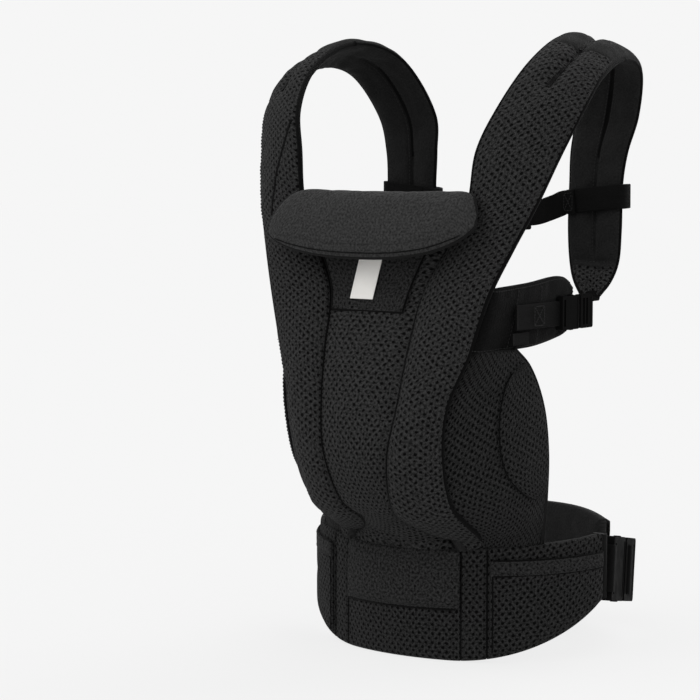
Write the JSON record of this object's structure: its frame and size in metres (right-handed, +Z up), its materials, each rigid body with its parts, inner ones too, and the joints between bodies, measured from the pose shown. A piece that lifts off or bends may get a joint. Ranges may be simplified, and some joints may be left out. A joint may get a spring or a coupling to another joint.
{
  "type": "soft structured baby carrier",
  "caption": "Soft structured baby carrier with a padded front panel on a waist belt, looped shoulder straps, fold-down head support and side-release buckles.",
  "frame": {"origin": "on the surface the carrier stands on, under the middle of its overall box", "axes": "+Z up, -Y out of the front panel, +X towards the waist buckle, left and right as seen from the front with +X at the right"},
  "size_m": [0.3892, 0.3675, 0.6281],
  "materials": {
    "mesh_fabric": "black air-mesh knit with a staggered pattern of small holes",
    "smooth_fabric": "dark woven fabric, fine and matt",
    "lining_fabric": "smooth black knit over foam",
    "webbing": "black woven nylon webbing",
    "plastic": "black moulded acetal, lightly textured",
    "label": "plain white woven satin"
  },
  "bodies": {
    "root": {"belt_lining": "lining_fabric", "belt_front_panel": "mesh_fabric", "belt_strip_right": "mesh_fabric", "belt_strip_left": "mesh_fabric", "belt_side_panel_right": "mesh_fabric", "belt_side_panel_left": "mesh_fabric", "belt_pocket_right": "mesh_fabric", "belt_pocket_left": "mesh_fabric", "front_panel": "mesh_fabric", "panel_lining": "lining_fabric", "hood_pocket": "smooth_fabric", "woven_label": "label", "seat_wing_right": "mesh_fabric", "seat_wing_left": "mesh_fabric", "thigh_pad_right": "mesh_fabric", "thigh_pad_left": "mesh_fabric", "panel_band_right": "mesh_fabric", "panel_band_left": "mesh_fabric", "strap_front_right": "mesh_fabric", "strap_front_left": "mesh_fabric", "strap_top_right": "lining_fabric", "strap_top_left": "lining_fabric", "strap_back_right": "lining_fabric", "strap_back_left": "lining_fabric", "side_tab_right": "lining_fabric", "side_tab_left": "lining_fabric", "side_webbing_right": "webbing", "side_webbing_left": "webbing", "side_stay_right": "webbing", "side_stay_left": "webbing", "adjuster_webbing_right": "webbing", "adjuster_webbing_left": "webbing", "side_buckle_right_housing": "plastic", "side_buckle_left_housing": "plastic", "waist_buckle_housing": "plastic", "waist_anchor_webbing": "webbing", "waist_webbing": "webbing", "waist_webbing_tail": "webbing"},
    "head_support": {"head_support": "smooth_fabric"},
    "lumbar": {"lumbar_pad": "lining_fabric", "lumbar_sleeve": "mesh_fabric"},
    "waist_keeper": {"waist_keeper": "webbing"},
    "chest_strap": {"chest_loop_right": "webbing", "chest_loop_left": "webbing", "chest_webbing_right": "webbing", "chest_webbing_left": "webbing", "chest_buckle_housing": "plastic"},
    "side_right_latch": {"side_buckle_right_latch": "plastic"},
    "side_right_arm_a": {"side_buckle_right_arm_a": "plastic"},
    "side_right_arm_b": {"side_buckle_right_arm_b": "plastic"},
    "side_left_latch": {"side_buckle_left_latch": "plastic"},
    "side_left_arm_a": {"side_buckle_left_arm_a": "plastic"},
    "side_left_arm_b": {"side_buckle_left_arm_b": "plastic"},
    "chest_latch": {"chest_buckle_latch": "plastic"},
    "chest_arm_a": {"chest_buckle_arm_a": "plastic"},
    "chest_arm_b": {"chest_buckle_arm_b": "plastic"},
    "waist_latch": {"waist_buckle_latch": "plastic", "waist_latch_fold": "webbing"},
    "waist_arm_a": {"waist_buckle_arm_a": "plastic"},
    "waist_arm_b": {"waist_buckle_arm_b": "plastic"}
  },
  "joints": [
    {"name": "head_support_fold", "type": "hinge", "parent": "root", "child": "head_support", "pos_m": [0, -0.145, 0.468], "axis": [-1, 0, 0], "range_deg": [0, 135]},
    {"name": "lumbar_pad_slide", "type": "hinge", "parent": "root", "child": "lumbar", "pos_m": [0, -0.0145, 0.062], "axis": [0, 0, -1], "range_deg": [-3.5, 3.5]},
    {"name": "waist_keeper_slide", "type": "hinge", "parent": "root", "child": "waist_keeper", "pos_m": [0, -0.0145, 0.062], "axis": [0, 0, -1], "range_deg": [0, 2.5]},
    {"name": "chest_strap_height", "type": "slide", "parent": "root", "child": "chest_strap", "axis": [0, 0, 1], "range_m": [-0.012, 0.02]},
    {"name": "side_right_buckle_release", "type": "slide", "parent": "root", "child": "side_right_latch", "axis": [0, 1, 0], "range_m": [0, 0.0195], "deforming": ["side_buckle_right_arm_a", "side_buckle_right_arm_b"]},
    {"name": "side_right_arm_a_press", "type": "hinge", "parent": "side_right_latch", "child": "side_right_arm_a", "pos_m": [0.143, 0.004, 0.36292], "axis": [1, 0, 0], "range_deg": [0, 6], "stiffness_Nm_per_rad": 0.3},
    {"name": "side_right_arm_b_press", "type": "hinge", "parent": "side_right_latch", "child": "side_right_arm_b", "pos_m": [0.143, 0.004, 0.33708], "axis": [-1, 0, 0], "range_deg": [0, 6], "stiffness_Nm_per_rad": 0.3},
    {"name": "side_left_buckle_release", "type": "slide", "parent": "root", "child": "side_left_latch", "axis": [0, 1, 0], "range_m": [0, 0.0195], "deforming": ["side_buckle_left_arm_a", "side_buckle_left_arm_b"]},
    {"name": "side_left_arm_a_press", "type": "hinge", "parent": "side_left_latch", "child": "side_left_arm_a", "pos_m": [-0.143, 0.004, 0.33708], "axis": [-1, 0, 0], "range_deg": [0, 6], "stiffness_Nm_per_rad": 0.3},
    {"name": "side_left_arm_b_press", "type": "hinge", "parent": "side_left_latch", "child": "side_left_arm_b", "pos_m": [-0.143, 0.004, 0.36292], "axis": [1, 0, 0], "range_deg": [0, 6], "stiffness_Nm_per_rad": 0.3},
    {"name": "chest_buckle_release", "type": "slide", "parent": "chest_strap", "child": "chest_latch", "axis": [1, 0, 0], "range_m": [0, 0.0195], "deforming": ["chest_buckle_arm_a", "chest_buckle_arm_b"]},
    {"name": "chest_arm_a_press", "type": "hinge", "parent": "chest_latch", "child": "chest_arm_a", "pos_m": [0.02, 0.071, 0.43208], "axis": [0, 1, 0], "range_deg": [0, 6], "stiffness_Nm_per_rad": 0.3},
    {"name": "chest_arm_b_press", "type": "hinge", "parent": "chest_latch", "child": "chest_arm_b", "pos_m": [0.02, 0.071, 0.45792], "axis": [0, -1, 0], "range_deg": [0, 6], "stiffness_Nm_per_rad": 0.3},
    {"name": "waist_buckle_release", "type": "slide", "parent": "root", "child": "waist_latch", "axis": [-0.261, 0.9482, -0.1811], "range_m": [0, 0.028], "deforming": ["waist_buckle_arm_a", "waist_buckle_arm_b"]},
    {"name": "waist_arm_a_press", "type": "hinge", "parent": "waist_latch", "child": "waist_arm_a", "pos_m": [0.15288, 0.08173, 0.1038], "axis": [0.9641, 0.2654, 0], "range_deg": [0, 6], "stiffness_Nm_per_rad": 0.3},
    {"name": "waist_arm_b_press", "type": "hinge", "parent": "waist_latch", "child": "waist_arm_b", "pos_m": [0.1554, 0.07258, 0.05227], "axis": [-0.9641, -0.2654, 0], "range_deg": [0, 6], "stiffness_Nm_per_rad": 0.3}
  ],
  "couplings": [
    {"joint": "side_right_arm_b_press", "follows": "side_right_arm_a_press", "ratio": 1},
    {"joint": "side_left_arm_b_press", "follows": "side_left_arm_a_press", "ratio": 1},
    {"joint": "chest_arm_b_press", "follows": "chest_arm_a_press", "ratio": 1},
    {"joint": "waist_arm_b_press", "follows": "waist_arm_a_press", "ratio": 1}
  ]
}
